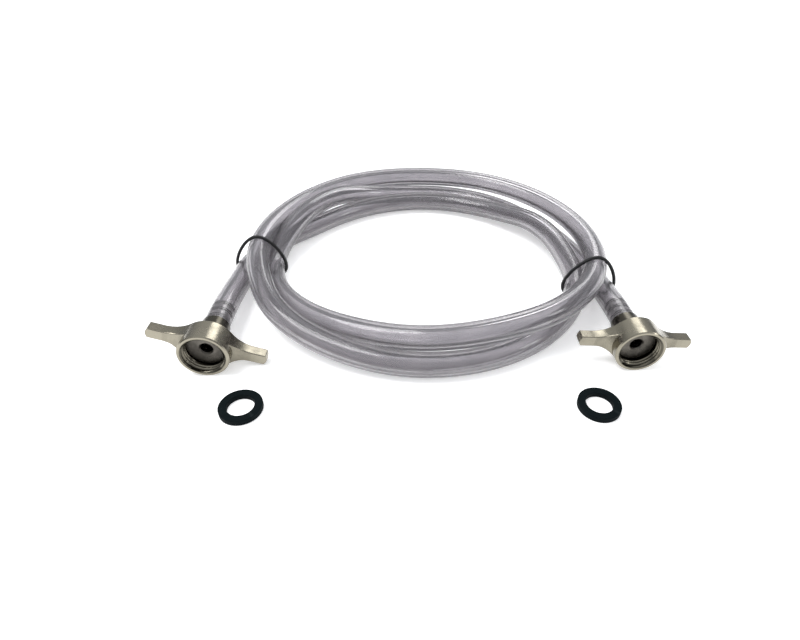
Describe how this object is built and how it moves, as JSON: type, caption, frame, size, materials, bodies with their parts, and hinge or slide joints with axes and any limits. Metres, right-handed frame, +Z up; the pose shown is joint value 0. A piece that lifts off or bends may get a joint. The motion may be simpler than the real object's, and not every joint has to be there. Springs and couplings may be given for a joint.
{
  "type": "beverage jumper hose",
  "caption": "Clear vinyl beverage hose coiled and tied, with a barbed tailpiece and a threaded wing nut on each end and loose flat sealing washers.",
  "frame": {"origin": "on the surface that the hose lies on, midway between the wing nuts in X and midway between the washers' fronts and the back of the ties in Y, so in front of the coil's centre", "axes": "+Z up from the surface; +X from the left nut to the right nut; the nuts open towards -Y"},
  "size_m": [0.2943, 0.2659, 0.0306],
  "materials": {
    "clear_vinyl": "clear flexible vinyl, glossy",
    "plated_nut": "bright nickel plate over cast brass",
    "plated_tailpiece": "turned and nickel plated",
    "black_rubber": "moulded, matt",
    "black_elastic": "elastic cord, matt"
  },
  "bodies": {
    "hose": {"hose_coil": "clear_vinyl", "hose_leg_left": "clear_vinyl", "hose_leg_right": "clear_vinyl", "elastic_tie_left": "black_elastic", "elastic_tie_right": "black_elastic", "tailpiece_left": "plated_tailpiece", "tailpiece_right": "plated_tailpiece"},
    "left_nut": {"wing_nut_left": "plated_nut"},
    "right_nut": {"wing_nut_right": "plated_nut"},
    "left_washer": {"washer_left": "black_rubber"},
    "right_washer": {"washer_right": "black_rubber"}
  },
  "joints": [
    {"name": "left_nut_turn", "type": "hinge", "parent": "hose", "child": "left_nut", "pos_m": [-0.11669, -0.01911, 0.0136], "axis": [0.0349, -0.9994, 0], "continuous": true},
    {"name": "right_nut_turn", "type": "hinge", "parent": "hose", "child": "right_nut", "pos_m": [0.11547, -0.00902, 0.0136], "axis": [0.0523, -0.9986, 0], "continuous": true},
    {"name": "left_washer_lift", "type": "slide", "parent": "hose", "child": "left_washer", "axis": [0, 0, 1], "range_m": [0, 0.04]},
    {"name": "right_washer_lift", "type": "slide", "parent": "hose", "child": "right_washer", "axis": [0, 0, 1], "range_m": [0, 0.04]}
  ]
}
